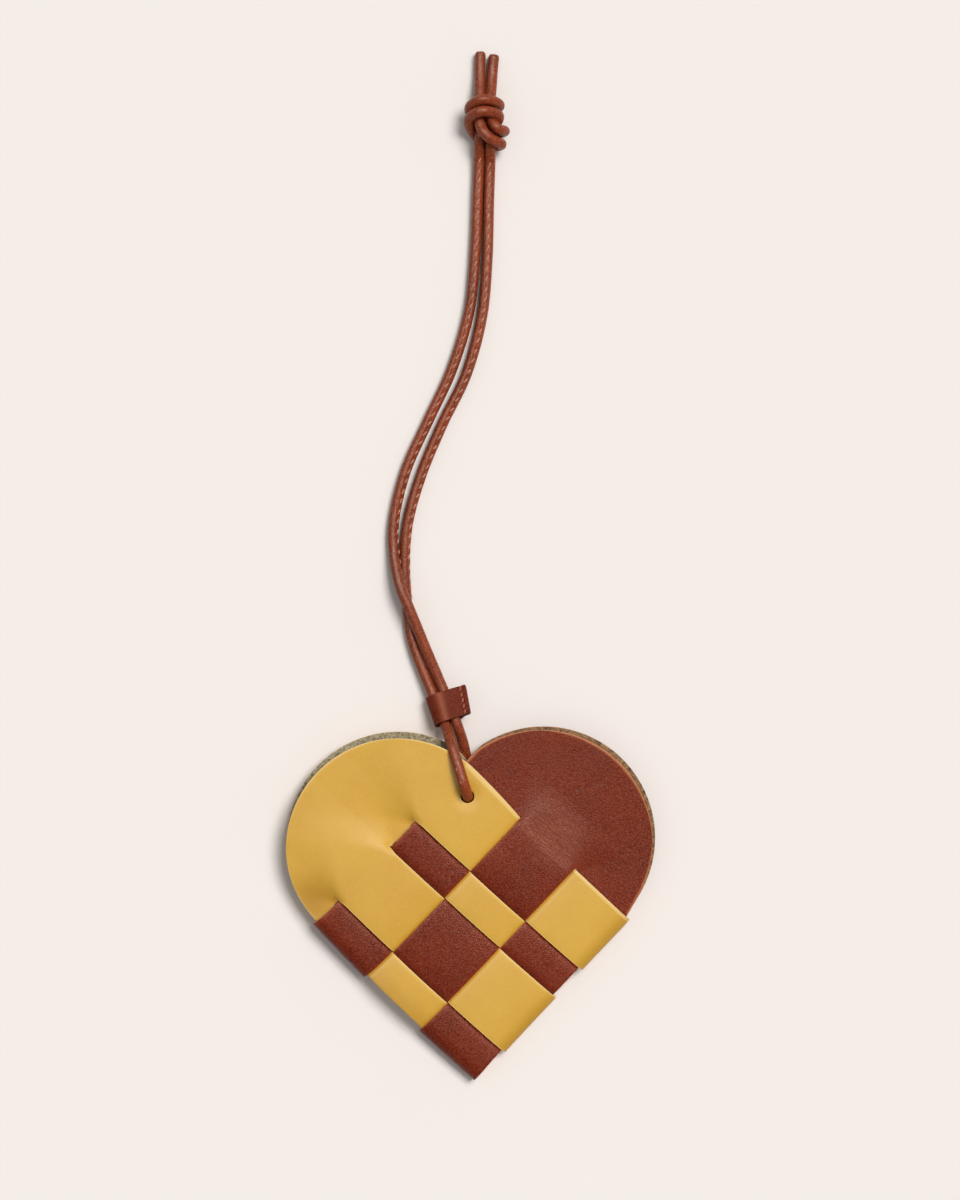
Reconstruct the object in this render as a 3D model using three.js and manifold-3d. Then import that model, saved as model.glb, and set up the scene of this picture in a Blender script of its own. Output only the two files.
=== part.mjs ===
// A leather heart charm, lying face up on a table. Two leather bands, one yellow and one brown,
// are each folded in two and slit into loops, and the loops are woven through each other.
// A doubled leather cord runs through a punched hole, a leather slider and a knot.
// Millimetres, +Z up. The origin is under the middle of the heart, on the table.

import * as THREE from 'three';
import { mergeVertices } from 'three/addons/utils/BufferGeometryUtils.js';
import Module from 'manifold-3d';

const wasm = await Module();
wasm.setup();

// Leather and weave
const leather = 1.0; // thickness of the leather of both halves
const layerGap = 0.3; // air between two pieces that lie on each other
const yellowWide = 18.5; // the first and third yellow loop
const yellowNarrow = 9.25; // the second and fourth yellow loop
const brownWide = 18.5; // the three brown loops
const dip = 2.4; // length over which a loop goes from the outer to the inner layer
const slitRun = 1.0; // how far the slits run past the woven square into the rounded end
const rootRun = 1.2; // how far each loop runs on inside the rounded end
const foldProud = 0.4; // how far the outer folds stand past the woven square
const edgeInset = 0.9; // how far the outermost cut edges stay inside the woven square
const notchBulge = 0.9; // how far the rounded ends stand past the square beside the notch
const roundSink = 1.8; // the rounded ends' centre lies this far inside the woven square
const foldRoom = 0.6; // the hidden outermost edge stays this much further inside a fold
const yellowBackSlip = new THREE.Vector2(-0.95, -1.0); // back end shows past the front one
const brownBackSlip = new THREE.Vector2(-1.5, 0);
const noSlip = new THREE.Vector2(0, 0);

// Punched hole
const holeInset = 5.2; // from both edges of the woven square at the notch
const holeClearance = 0.35; // between the cord and the edge of the hole

// Cord
const cordDiameter = 2.7;
const cordSides = 8;
const stepsPerPoint = 2;

// Slider, a strip wrapped round both strands and sewn to itself at one side
const sliderLength = 7.6;
const sliderLeather = 0.7;
const sliderClearance = 0.35; // between the strands and the slider
const strandPitch = 2.85; // between the two strands where they run through the slider
const tabReach = 2.6; // sewn tab, past the wrapped part
const tabDrop = 0.2; // the tab lies this much below the top of the wrapped part
const wrapEnd = 30; // degrees below level, where the wrapped strip meets the tab
const sliderPlace = new THREE.Vector2(-5.73, 21.6); // its middle, seen from the hole
const sliderTurn = 19.6; // degrees, a little less than the strands turn there
const sliderPitch = 16; // degrees, the heart's end of the slider is lifted

// How the heart lies
const heartTurn = 1.7; // degrees, turned on the table

// Values that follow
const pitch = leather + layerGap;
const inner = pitch / 2;
const outer = 1.5 * pitch;
const cordRadius = cordDiameter / 2;
const holeRadius = cordRadius + holeClearance;
const yellowRows = [yellowWide, yellowNarrow, yellowWide, yellowNarrow];
const brownRows = [brownWide, brownWide, brownWide];
const dipSteps = 4;
const foldSteps = 8;
const arcSteps = 40;
const holeSides = 24;
const sliderSteps = 10;
const sameCorner = 1e-4; // points closer than this are one point
const tall = 4 * pitch; // taller than half the weave, for cuts

const sum = (list) => list.reduce((total, value) => total + value, 0);
const radians = THREE.MathUtils.degToRad;

function toSolid(geometry) {
  const bare = geometry.clone();
  bare.deleteAttribute('normal');
  bare.deleteAttribute('uv');
  const merged = mergeVertices(bare, sameCorner);
  const mesh = new wasm.Mesh({
    numProp: 3,
    vertProperties: new Float32Array(merged.attributes.position.array),
    triVerts: new Uint32Array(merged.index.array),
  });
  return new wasm.Manifold(mesh);
}

function toGeometry(solid) {
  const mesh = solid.getMesh();
  const geometry = new THREE.BufferGeometry();
  geometry.setAttribute('position', new THREE.BufferAttribute(mesh.vertProperties, 3));
  geometry.setIndex(new THREE.BufferAttribute(mesh.triVerts, 1));
  geometry.computeVertexNormals();
  return geometry;
}

function slab(points, bottom, top) {
  const shape = new THREE.Shape(points);
  const geometry = new THREE.ExtrudeGeometry(shape, { depth: top - bottom, bevelEnabled: false });
  geometry.translate(0, 0, bottom);
  return toSolid(geometry);
}

function block(x0, x1, y0, y1) {
  const geometry = new THREE.BoxGeometry(x1 - x0, y1 - y0, 2 * tall);
  geometry.translate((x0 + x1) / 2, (y0 + y1) / 2, 0);
  return toSolid(geometry);
}

// Middle line of the front layer of one loop, from its root to its fold, as points (along, height)
function frontLine(crossings, isOver, foldCentre) {
  const line = [new THREE.Vector2(-slitRun - rootRun, inner)];
  const slope = (from, start, rise) => {
    for (let k = 0; k <= dipSteps; k += 1) {
      const share = k / dipSteps;
      const height = from + rise * (1 - Math.cos(Math.PI * share)) / 2;
      line.push(new THREE.Vector2(start + share * dip, height));
    }
  };
  let along = 0;
  crossings.forEach((length, k) => {
    const last = k === crossings.length - 1;
    if (isOver(k)) {
      slope(inner, along, outer - inner);
      if (!last) slope(outer, along + length - dip, inner - outer);
    }
    along += length;
  });
  const level = isOver(crossings.length - 1) ? outer : inner;
  for (let k = 0; k <= foldSteps / 2; k += 1) {
    const angle = Math.PI / 2 - Math.PI * k / foldSteps;
    line.push(new THREE.Vector2(foldCentre + level * Math.cos(angle), level * Math.sin(angle)));
  }
  return line;
}

// One loop, front layer, fold and back layer, as a solid that runs along +X
function loopSolid(crossings, isOver, foldCentre, low, high) {
  const front = frontLine(crossings, isOver, foldCentre);
  const back = front.slice(0, -1).reverse().map((p) => new THREE.Vector2(p.x, -p.y));
  const line = [...front, ...back];
  const sideOf = (distance) => line.map((point, k) => {
    const before = line[Math.max(k - 1, 0)];
    const after = line[Math.min(k + 1, line.length - 1)];
    const run = after.clone().sub(before).normalize();
    return new THREE.Vector2(point.x - run.y * distance, point.y + run.x * distance);
  });
  const shape = new THREE.Shape([...sideOf(leather / 2), ...sideOf(-leather / 2).reverse()]);
  const geometry = new THREE.ExtrudeGeometry(shape, { depth: high - low, bevelEnabled: false });
  geometry.rotateX(Math.PI / 2);
  geometry.translate(0, high, 0);
  return toSolid(geometry);
}

// Rounded end of one layer, a half disc that the slits run into
function roundedEnd(width, slip, level) {
  const top = width - edgeInset;
  const radius = (top + notchBulge) / 2;
  const middle = (top - notchBulge) / 2;
  const start = Math.acos((-slitRun - roundSink - slip.x) / radius);
  const turn = 2 * (Math.PI - start);
  const points = [];
  for (let k = 0; k <= arcSteps; k += 1) {
    const angle = start + turn * k / arcSteps;
    const x = roundSink + slip.x + radius * Math.cos(angle);
    const y = middle + slip.y + radius * Math.sin(angle);
    points.push(new THREE.Vector2(x, y));
  }
  return slab(points, level - leather / 2, level + leather / 2);
}

// One half of the heart: its loops run along +X, and the other half's loops cross them.
// isOver(row, crossing) says where this half lies outside. The slips shift the two rounded ends.
function half(rows, crossings, isOver, upperSlip, lowerSlip) {
  const gap = layerGap / 2;
  const reach = sum(crossings);
  const width = sum(rows);
  let solid = roundedEnd(width, upperSlip, inner);
  solid = solid.add(roundedEnd(width, lowerSlip, -inner));
  let low = 0;
  rows.forEach((rowWidth, row) => {
    const high = low + rowWidth;
    const first = row === 0;
    const last = row === rows.length - 1;
    const folded = isOver(row, crossings.length - 1);
    const outside = folded ? reach + foldProud : reach - edgeInset - layerGap;
    const foldCentre = outside - leather / 2 - (folded ? outer : inner);
    const lowEdge = first ? -notchBulge : low + gap;
    const highEdge = last ? high - edgeInset : high - gap;
    let loop = loopSolid(crossings, (k) => isOver(row, k), foldCentre, lowEdge, highEdge);
    let along = 0;
    crossings.forEach((length, k) => {
      if (!isOver(row, k)) {
        const start = k === 0 && first ? -slitRun : along - gap;
        const end = k === crossings.length - 1 ? reach + dip : along + length + gap;
        const trim = last ? edgeInset + foldRoom : dip;
        loop = loop.subtract(block(start, end, low - dip, low + dip));
        loop = loop.subtract(block(along - gap, end, high - trim, high + dip));
      }
      along += length;
    });
    if (first) {
      const taper = [
        new THREE.Vector2(-slitRun, -notchBulge),
        new THREE.Vector2(reach + dip, -notchBulge - dip),
        new THREE.Vector2(reach + dip, gap),
        new THREE.Vector2(crossings[0], gap),
      ];
      loop = loop.subtract(slab(taper, -tall, tall));
    }
    solid = solid.add(loop);
    low = high;
  });
  const hole = new THREE.CylinderGeometry(holeRadius, holeRadius, 2 * tall, holeSides);
  hole.rotateX(Math.PI / 2);
  hole.translate(holeInset, holeInset, 0);
  return toGeometry(solid.subtract(toSolid(hole)));
}

function leatherMesh(name, geometry, color, roughness) {
  const material = new THREE.MeshStandardMaterial({ color, roughness, metalness: 0 });
  const mesh = new THREE.Mesh(geometry, material);
  mesh.name = name;
  return mesh;
}

// The brown loops run along +X. The yellow half is turned over the diagonal to run along +Y.
const brownOver = (row, k) => (row + k) % 2 === 1;
const yellowOver = (row, k) => (row + k) % 2 === 0;
const brown = half(brownRows, yellowRows, brownOver, noSlip, brownBackSlip);
const yellow = half(yellowRows, brownRows, yellowOver, yellowBackSlip, noSlip);
yellow.rotateX(Math.PI);
yellow.rotateZ(Math.PI / 2);

const heart = new THREE.Group();
heart.add(leatherMesh('yellow_half', yellow, 0xd9ae52, 0.5));
heart.add(leatherMesh('brown_half', brown, 0x6d3122, 0.45));

// The back strand lies under the notch, so the heart leans on it and on its lower tip
const span = Math.hypot(sum(yellowRows), sum(brownRows)) - Math.SQRT2 * holeInset;
const tilt = Math.asin((cordDiameter + layerGap) / span);
heart.rotation.set(tilt, 0, -radians(135 - heartTurn));
heart.updateMatrixWorld(true);
const bounds = new THREE.Box3().setFromObject(heart, true);
const centre = bounds.getCenter(new THREE.Vector3());
heart.position.set(-centre.x, -centre.y, -bounds.min.z);
heart.updateMatrixWorld(true);
const holePlace = heart.localToWorld(new THREE.Vector3(holeInset, holeInset, 0));

// Cord, one piece. Its points lie on its middle line, seen from the hole, heights over the table.
// From its left end down through the knot, through the hole and back to its right end.
const leftEndAndKnot = [
  [3.2, 185.3, 1.4], [3.1, 178.6, 1.8], [3.0, 174.2, 3.2], [3.0, 170.0, 4.7], [3.2, 166.2, 6.2],
  [5.3, 163.3, 6.9], [8.4, 161.9, 4.1], [5.5, 162.0, 1.6], [2.0, 164.5, 2.0], [0.4, 167.9, 5.2],
  [3.4, 169.6, 8.3], [7.7, 168.8, 5.9], [6.8, 166.3, 3.7], [5.8, 162.4, 4.2], [5.6, 157.6, 2.0],
];
const lowerStrand = [
  [5.3, 148.6, 1.5], [4.9, 133.6, 1.4], [3.6, 119.4, 1.4], [-0.3, 104.9, 1.4], [-6.3, 92.4, 1.4],
  [-11.8, 79.1, 1.4], [-15.0, 67.4, 1.4], [-15.7, 57.9, 1.4], [-15.2, 48.6, 1.4],
  [-13.8, 38.6, 1.5],
];
const sliderAndHole = [
  [-8.3, 24.1, 2.4], [-5.8, 18.0, 4.3], [-3.6, 11.6, 8.6], [-2.0, 6.6, 10.0], [-0.7, 2.4, 10.2],
  [0.0, 0.05, 8.3], [0.0, 0.0, 3.4], [0.0, 0.8, 1.8], [0.0, 2.6, 1.45], [-0.1, 7.0, 1.7],
  [-1.0, 12.4, 3.1], [-3.2, 19.1, 4.3], [-5.7, 25.2, 2.4],
];
const upperStrand = [
  [-10.3, 36.1, 3.1], [-14.3, 45.9, 4.2], [-16.7, 51.6, 4.0], [-18.4, 60.4, 2.0],
  [-18.4, 68.1, 1.5], [-15.5, 80.6, 1.4], [-9.7, 93.6, 1.4], [-4.0, 105.9, 1.4],
  [0.4, 120.6, 1.4], [1.8, 133.6, 1.4], [2.5, 148.6, 1.5],
];
const knotAndRightEnd = [
  [2.9, 158.6, 2.0], [3.1, 163.6, 4.2], [4.2, 167.4, 3.6], [6.0, 169.9, 2.3], [7.9, 171.6, 4.6],
  [4.0, 172.6, 7.8], [0.6, 171.0, 5.2], [1.8, 168.2, 2.0], [5.6, 165.2, 1.6], [9.2, 165.2, 3.9],
  [7.4, 165.6, 6.6], [5.8, 168.3, 5.3], [5.6, 172.0, 4.3], [5.9, 176.0, 2.6], [6.2, 180.5, 1.5],
  [6.6, 184.6, 1.4],
];

// A curve that is stepped through its points, so that close points give close steps
class Route extends THREE.CatmullRomCurve3 {
  getPointAt(u, target) {
    return this.getPoint(u, target);
  }

  getTangentAt(u, target) {
    return this.getTangent(u, target);
  }
}

function cordGeometry() {
  const places = [
    ...leftEndAndKnot, ...lowerStrand, ...sliderAndHole, ...upperStrand, ...knotAndRightEnd,
  ];
  const route = new Route(places.map((place) => new THREE.Vector3(...place)), false, 'centripetal');
  const section = new THREE.Shape();
  for (let k = 0; k < cordSides; k += 1) {
    const angle = 2 * Math.PI * (k + 0.5) / cordSides;
    const x = cordRadius * Math.cos(angle);
    const y = cordRadius * Math.sin(angle);
    if (k === 0) section.moveTo(x, y);
    else section.lineTo(x, y);
  }
  const steps = stepsPerPoint * (places.length - 1);
  return new THREE.ExtrudeGeometry(section, { steps, extrudePath: route, bevelEnabled: false });
}

// Slider, seen along the strands: a strip round both of them, with its ends sewn together
function sliderGeometry() {
  const bore = cordRadius + sliderClearance;
  const outside = bore + sliderLeather;
  const reach = strandPitch / 2;
  const tabEnd = reach + outside + tabReach;
  const tabTop = outside - tabDrop;
  const tabLow = tabTop - 2 * sliderLeather;
  const shape = new THREE.Shape();
  shape.moveTo(reach, outside);
  shape.lineTo(-reach, outside);
  shape.absarc(-reach, 0, outside, Math.PI / 2, 3 * Math.PI / 2, false);
  shape.lineTo(reach, -outside);
  shape.absarc(reach, 0, outside, -Math.PI / 2, -radians(wrapEnd), false);
  shape.lineTo(reach + outside + sliderLeather, tabLow);
  shape.lineTo(tabEnd, tabLow);
  shape.lineTo(tabEnd, tabTop);
  shape.lineTo(reach + outside, tabTop);
  const hole = new THREE.Path();
  hole.moveTo(reach, bore);
  hole.absarc(reach, 0, bore, Math.PI / 2, -Math.PI / 2, true);
  hole.absarc(-reach, 0, bore, -Math.PI / 2, -3 * Math.PI / 2, true);
  shape.holes.push(hole);
  const form = { depth: sliderLength, bevelEnabled: false, curveSegments: sliderSteps };
  const geometry = new THREE.ExtrudeGeometry(shape, form);
  geometry.rotateX(Math.PI / 2);
  geometry.translate(0, sliderLength / 2, 0);
  return geometry;
}

const cordGroup = new THREE.Group();
cordGroup.position.set(holePlace.x, holePlace.y, 0);
cordGroup.add(leatherMesh('cord', cordGeometry(), 0x84391f, 0.45));

const slider = leatherMesh('slider', sliderGeometry(), 0x6b2d20, 0.5);
const sliderTilt = radians(sliderPitch);
const sliderOutside = cordRadius + sliderClearance + sliderLeather;
const sliderHeight = sliderLength / 2 * Math.sin(sliderTilt) + sliderOutside * Math.cos(sliderTilt);
slider.rotation.set(-sliderTilt, 0, radians(sliderTurn), 'ZYX');
slider.position.set(sliderPlace.x, sliderPlace.y, sliderHeight);
cordGroup.add(slider);

const group = new THREE.Group();
group.add(heart, cordGroup);

export default group;
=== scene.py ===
# A woven leather heart charm on a pale table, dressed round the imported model
import math
import bmesh
import bpy
from mathutils import Matrix, Vector


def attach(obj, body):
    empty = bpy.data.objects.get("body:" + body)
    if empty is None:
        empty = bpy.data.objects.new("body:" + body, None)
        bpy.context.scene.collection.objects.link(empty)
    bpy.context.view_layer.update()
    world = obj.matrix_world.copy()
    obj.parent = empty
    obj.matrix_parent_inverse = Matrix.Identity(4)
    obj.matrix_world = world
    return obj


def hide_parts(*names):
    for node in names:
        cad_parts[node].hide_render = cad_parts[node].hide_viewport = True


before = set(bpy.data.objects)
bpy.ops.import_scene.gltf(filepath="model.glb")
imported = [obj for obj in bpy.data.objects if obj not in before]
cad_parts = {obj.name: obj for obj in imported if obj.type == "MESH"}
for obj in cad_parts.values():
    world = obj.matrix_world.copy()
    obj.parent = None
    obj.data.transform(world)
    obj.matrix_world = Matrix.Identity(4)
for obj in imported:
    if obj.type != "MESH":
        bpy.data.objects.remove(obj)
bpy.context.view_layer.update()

mm = 0.001


# Helpers that every piece uses

def newObject(name, bm, materials):
    mesh = bpy.data.meshes.new(name)
    bm.to_mesh(mesh)
    bm.free()
    for material in materials:
        mesh.materials.append(material)
    piece = bpy.data.objects.new(name, mesh)
    bpy.context.scene.collection.objects.link(piece)
    return piece


def applyModifiers(piece):
    bpy.context.view_layer.update()
    graph = bpy.context.evaluated_depsgraph_get()
    shaped = piece.evaluated_get(graph)
    mesh = bpy.data.meshes.new_from_object(shaped, preserve_all_data_layers=True, depsgraph=graph)
    old = piece.data
    piece.modifiers.clear()
    piece.data = mesh
    bpy.data.meshes.remove(old)
    piece.data.name = piece.name


def shadeSmooth(piece):
    for face in piece.data.polygons:
        face.use_smooth = True


def faceUp(bm):
    # all faces to one side of an open strip, the highest one upwards
    bmesh.ops.recalc_face_normals(bm, faces=bm.faces)
    up = max(bm.faces, key=lambda face: face.calc_center_median().z)
    if up.normal.z < 0:
        bmesh.ops.reverse_faces(bm, faces=bm.faces)


def addThickness(piece, leather):
    thick = piece.modifiers.new("thickness", "SOLIDIFY")
    thick.thickness = leather * mm
    thick.offset = 0.0
    thick.material_offset_rim = 2
    return thick


def addRim(piece, width, material=-1):
    # the sharp cut edges are rounded a little
    rim = piece.modifiers.new("rim", "BEVEL")
    rim.width = width * mm
    rim.material = material
    rim.segments = 2
    rim.limit_method = "ANGLE"
    rim.angle_limit = math.radians(50)


def smoothStep(share):
    share = min(max(share, 0.0), 1.0)
    return share * share * (3 - 2 * share)


# Shader groups that several leathers share

def newGroup(name, inputs, outputs):
    group = bpy.data.node_groups.new(name, "ShaderNodeTree")
    for socketName, kind, value in inputs:
        socket = group.interface.new_socket(socketName, in_out="INPUT", socket_type=kind)
        if value is not None:
            socket.default_value = value
    for socketName, kind in outputs:
        group.interface.new_socket(socketName, in_out="OUTPUT", socket_type=kind)
    start = group.nodes.new("NodeGroupInput")
    end = group.nodes.new("NodeGroupOutput")
    return group, start, end


def addNode(tree, kind, **values):
    node = tree.nodes.new(kind)
    for key, value in values.items():
        setattr(node, key, value)
    return node


def addMath(tree, operation, first, second=None):
    node = addNode(tree, "ShaderNodeMath", operation=operation)
    for socket, value in zip(node.inputs, (first, second)):
        if value is None:
            continue
        if isinstance(value, (int, float)):
            socket.default_value = value
        else:
            tree.links.new(value, socket)
    return node.outputs[0]


def addMix(tree, factor, first, second):
    node = addNode(tree, "ShaderNodeMix", data_type="RGBA")
    for socket, value in ((node.inputs[0], factor), (node.inputs[6], first), (node.inputs[7], second)):
        if isinstance(value, (int, float, tuple)):
            socket.default_value = value
        else:
            tree.links.new(value, socket)
    return node.outputs[2]


def addRamp(tree, value, low, high):
    node = addNode(tree, "ShaderNodeMapRange")
    node.inputs["From Min"].default_value = low
    node.inputs["From Max"].default_value = high
    tree.links.new(value, node.inputs["Value"])
    return node.outputs[0]


def addScaled(tree, value, amount):
    return addMath(tree, "MULTIPLY", value, amount)


def addMask(tree, name):
    # a value that the piece carries at each of its points
    return addNode(tree, "ShaderNodeAttribute", attribute_name=name).outputs["Fac"]


def addNoise(tree, vector, scale, detail=3.0, roughness=0.55):
    node = addNode(tree, "ShaderNodeTexNoise")
    node.inputs["Scale"].default_value = scale
    node.inputs["Detail"].default_value = detail
    node.inputs["Roughness"].default_value = roughness
    tree.links.new(vector, node.inputs["Vector"])
    return node.outputs["Fac"]


# Leather grain: fine pebbles, pores and slow changes of tone, sizes as noise scales
grain = {
    "warpSize": 900.0, "warp": 0.0004, "domeWidth": 0.22, "dome": 0.55, "fineSize": 5200.0, "fine": 0.3,
    "coarseSize": 700.0, "coarse": 0.5, "speckleSize": 2300.0, "speckleFrom": 0.42, "speckleTo": 0.68,
    "toneSize": 55.0, "toneFrom": 0.3, "toneTo": 0.7,
}
grainGroup, grainIn, grainOut = newGroup(
    "leatherGrain",
    [("Place", "NodeSocketVector", None), ("Pebble Size", "NodeSocketFloat", 2600.0)],
    [("Height", "NodeSocketFloat"), ("Speckle", "NodeSocketFloat"), ("Tone", "NodeSocketFloat")],
)


def fillGrainGroup(tree, start, end):
    place = start.outputs["Place"]
    warp = addNode(tree, "ShaderNodeTexNoise")
    warp.inputs["Scale"].default_value = grain["warpSize"]
    tree.links.new(place, warp.inputs["Vector"])
    shift = addNode(tree, "ShaderNodeVectorMath", operation="SCALE")
    shift.inputs["Scale"].default_value = grain["warp"]
    tree.links.new(warp.outputs["Color"], shift.inputs[0])
    moved = addNode(tree, "ShaderNodeVectorMath", operation="ADD")
    tree.links.new(place, moved.inputs[0])
    tree.links.new(shift.outputs[0], moved.inputs[1])
    pebble = addNode(tree, "ShaderNodeTexVoronoi", feature="DISTANCE_TO_EDGE")
    tree.links.new(start.outputs["Pebble Size"], pebble.inputs["Scale"])
    tree.links.new(moved.outputs[0], pebble.inputs["Vector"])
    dome = addRamp(tree, pebble.outputs["Distance"], 0.0, grain["domeWidth"])
    fine = addNoise(tree, place, grain["fineSize"], 2.0)
    coarse = addNoise(tree, place, grain["coarseSize"], 4.0)
    height = addMath(tree, "ADD", addScaled(tree, dome, grain["dome"]), addScaled(tree, fine, grain["fine"]))
    height = addMath(tree, "ADD", height, addScaled(tree, coarse, grain["coarse"]))
    tree.links.new(height, end.inputs["Height"])
    speckle = addNoise(tree, place, grain["speckleSize"], 4.0, 0.7)
    speckle = addRamp(tree, speckle, grain["speckleFrom"], grain["speckleTo"])
    tree.links.new(speckle, end.inputs["Speckle"])
    tone = addNoise(tree, place, grain["toneSize"], 3.0, 0.6)
    tone = addRamp(tree, tone, grain["toneFrom"], grain["toneTo"])
    tree.links.new(tone, end.inputs["Tone"])


fillGrainGroup(grainGroup, grainIn, grainOut)

# Fibres: the loose inner side and the cut edges of the leather
fibreFinish = {
    "detail": 5.0, "mottle": 0.7, "distortion": 0.6, "paleFrom": 0.35, "paleTo": 0.65,
    "rough": 0.85, "specular": 0.2, "bump": 0.6, "bumpDepth": 0.0002,
}
fibreGroup, fibreIn, fibreOut = newGroup(
    "leatherFibre",
    [("Place", "NodeSocketVector", None), ("Fibre Size", "NodeSocketFloat", 1800.0)],
    [("Height", "NodeSocketFloat"), ("Strand", "NodeSocketFloat")],
)


def fillFibreGroup(tree, start, end):
    place = start.outputs["Place"]
    strand = addNode(tree, "ShaderNodeTexNoise")
    strand.inputs["Detail"].default_value = fibreFinish["detail"]
    strand.inputs["Roughness"].default_value = fibreFinish["mottle"]
    strand.inputs["Distortion"].default_value = fibreFinish["distortion"]
    tree.links.new(start.outputs["Fibre Size"], strand.inputs["Scale"])
    tree.links.new(place, strand.inputs["Vector"])
    pale = addRamp(tree, strand.outputs["Fac"], fibreFinish["paleFrom"], fibreFinish["paleTo"])
    tree.links.new(pale, end.inputs["Strand"])
    tree.links.new(strand.outputs["Fac"], end.inputs["Height"])


fillFibreGroup(fibreGroup, fibreIn, fibreOut)


def newMaterial(name):
    material = bpy.data.materials.new(name)
    material.use_nodes = True
    tree = material.node_tree
    shader = tree.nodes["Principled BSDF"]
    place = addNode(tree, "ShaderNodeTexCoord").outputs["Object"]
    return material, tree, shader, place


def addGroup(tree, group, place, sizeName, size):
    node = addNode(tree, "ShaderNodeGroup", node_tree=group)
    node.inputs[sizeName].default_value = size
    tree.links.new(place, node.inputs["Place"])
    return node


def addBump(tree, shader, height, strength, distance, under=None):
    bump = addNode(tree, "ShaderNodeBump")
    bump.inputs["Strength"].default_value = strength
    bump.inputs["Distance"].default_value = distance
    tree.links.new(height, bump.inputs["Height"])
    if under:
        tree.links.new(under.outputs["Normal"], bump.inputs["Normal"])
    tree.links.new(bump.outputs["Normal"], shader.inputs["Normal"])
    return bump


def grainMaterial(name, look):
    material, tree, shader, place = newMaterial(name)
    skin = addGroup(tree, grainGroup, place, "Pebble Size", look["pebble"])
    speckle = skin.outputs["Speckle"]
    colour = addMix(tree, skin.outputs["Tone"], look["deep"], look["base"])
    colour = addMix(tree, addScaled(tree, speckle, look["speckle"]), colour, look["light"])
    # paler near the cut edges of the halves, and on the slider a painted highlight along its crest
    colour = addMix(tree, addScaled(tree, addMask(tree, "highlightAndPaleEdge"), look["highlightAndPaleEdge"]), colour, look["light"])
    rough = addMath(tree, "ADD", addScaled(tree, speckle, look["roughSpread"]), look["rough"])
    tree.links.new(rough, shader.inputs["Roughness"])
    shader.inputs["Specular IOR Level"].default_value = look["specular"]
    shader.inputs["Specular Tint"].default_value = look["sheenTint"]
    bump = addBump(tree, shader, skin.outputs["Height"], look["bump"], look["bumpDepth"])
    if "paintedShade" in look:
        # painted shade: deeper golden where the leather turns down away from the light
        turned = addScaled(tree, addMask(tree, "paintedShade"), look["paintedShade"])
        colour = addMix(tree, turned, colour, look["paintedShadeTone"])
    if "creaseDepth" in look:
        # painted sheen: a paler pink where the lobe climbs to its middle loop, in place of the light caught
        # there
        paintedSheen = addScaled(tree, addMask(tree, "crease"), look["paintedSheenShare"])
        colour = addMix(tree, paintedSheen, colour, look["paintedSheen"])
        lines = creaseLines(tree, look)
        # painted shade darkens the wrinkle lines
        colour = addMix(tree, addScaled(tree, lines, look["paintedCreaseShade"]), colour, look["deep"])
        addBump(tree, shader, addScaled(tree, lines, -1.0), 1.0, look["creaseDepth"], bump)
    if "trim" in look:
        line = addRamp(tree, addMask(tree, "trim"), look["trimFrom"], look["trimTo"])
        colour = addMix(tree, addScaled(tree, line, look["trim"]), colour, look["trimTone"])
    tree.links.new(colour, shader.inputs["Base Color"])
    return material


def creaseLines(tree, look):
    # thin wrinkles, drawn out along the fold that makes them
    flat = addNode(tree, "ShaderNodeUVMap", uv_map="flat").outputs["UV"]
    drawn = addNode(tree, "ShaderNodeMapping")
    drawn.inputs["Scale"].default_value = (1.0, look["creaseStretch"], 1.0)
    tree.links.new(flat, drawn.inputs["Vector"])
    field = addNoise(tree, drawn.outputs["Vector"], look["creaseSize"], 3.0, 0.6)
    away = addMath(tree, "ABSOLUTE", addMath(tree, "SUBTRACT", field, 0.5))
    ridge = addMath(tree, "SUBTRACT", 1.0, addRamp(tree, away, 0.0, look["creaseWidth"]))
    return addMath(tree, "MULTIPLY", ridge, addMask(tree, "crease"))


def fibreMaterial(name, look):
    material, tree, shader, place = newMaterial(name)
    fibre = addGroup(tree, fibreGroup, place, "Fibre Size", look["size"])
    colour = addMix(tree, fibre.outputs["Strand"], look["deep"], look["light"])
    tree.links.new(colour, shader.inputs["Base Color"])
    shader.inputs["Roughness"].default_value = fibreFinish["rough"]
    shader.inputs["Specular IOR Level"].default_value = fibreFinish["specular"]
    addBump(tree, shader, fibre.outputs["Height"], fibreFinish["bump"], fibreFinish["bumpDepth"])
    return material


# The leathers: colours as linear light, depths in metres
yellowLook = {
    "base": (0.635, 0.355, 0.038, 1), "deep": (0.575, 0.305, 0.026, 1), "light": (0.76, 0.49, 0.11, 1),
    "speckle": 0.22, "pebble": 3000.0, "rough": 0.46, "roughSpread": 0.08, "specular": 0.4,
    "bump": 0.22, "bumpDepth": 0.00005, "highlightAndPaleEdge": 0.25, "paintedShade": 0.7, "paintedShadeTone": (0.39, 0.175, 0.004, 1),
    "sheenTint": (1.0, 0.97, 0.90, 1),
    "trim": 0.5, "trimFrom": 0.55, "trimTo": 0.95, "trimTone": (0.84, 0.60, 0.24, 1),
}
brownLook = {
    "base": (0.144, 0.013, 0.004, 1), "deep": (0.098, 0.008, 0.0027, 1), "light": (0.31, 0.052, 0.016, 1),
    "speckle": 0.62, "pebble": 2300.0, "rough": 0.27, "roughSpread": 0.09, "specular": 0.19,
    "bump": 0.5, "bumpDepth": 0.0001, "highlightAndPaleEdge": 0.35, "sheenTint": (1.0, 0.80, 0.66, 1),
    "creaseSize": 620.0, "creaseStretch": 0.17, "creaseWidth": 0.05, "paintedCreaseShade": 0.22,
    "creaseDepth": 0.00008, "paintedSheenShare": 0.32, "paintedSheen": (0.36, 0.12, 0.075, 1),
    "trim": 0.85, "trimFrom": 0.25, "trimTo": 0.95, "trimTone": (0.55, 0.19, 0.07, 1),
}
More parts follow.
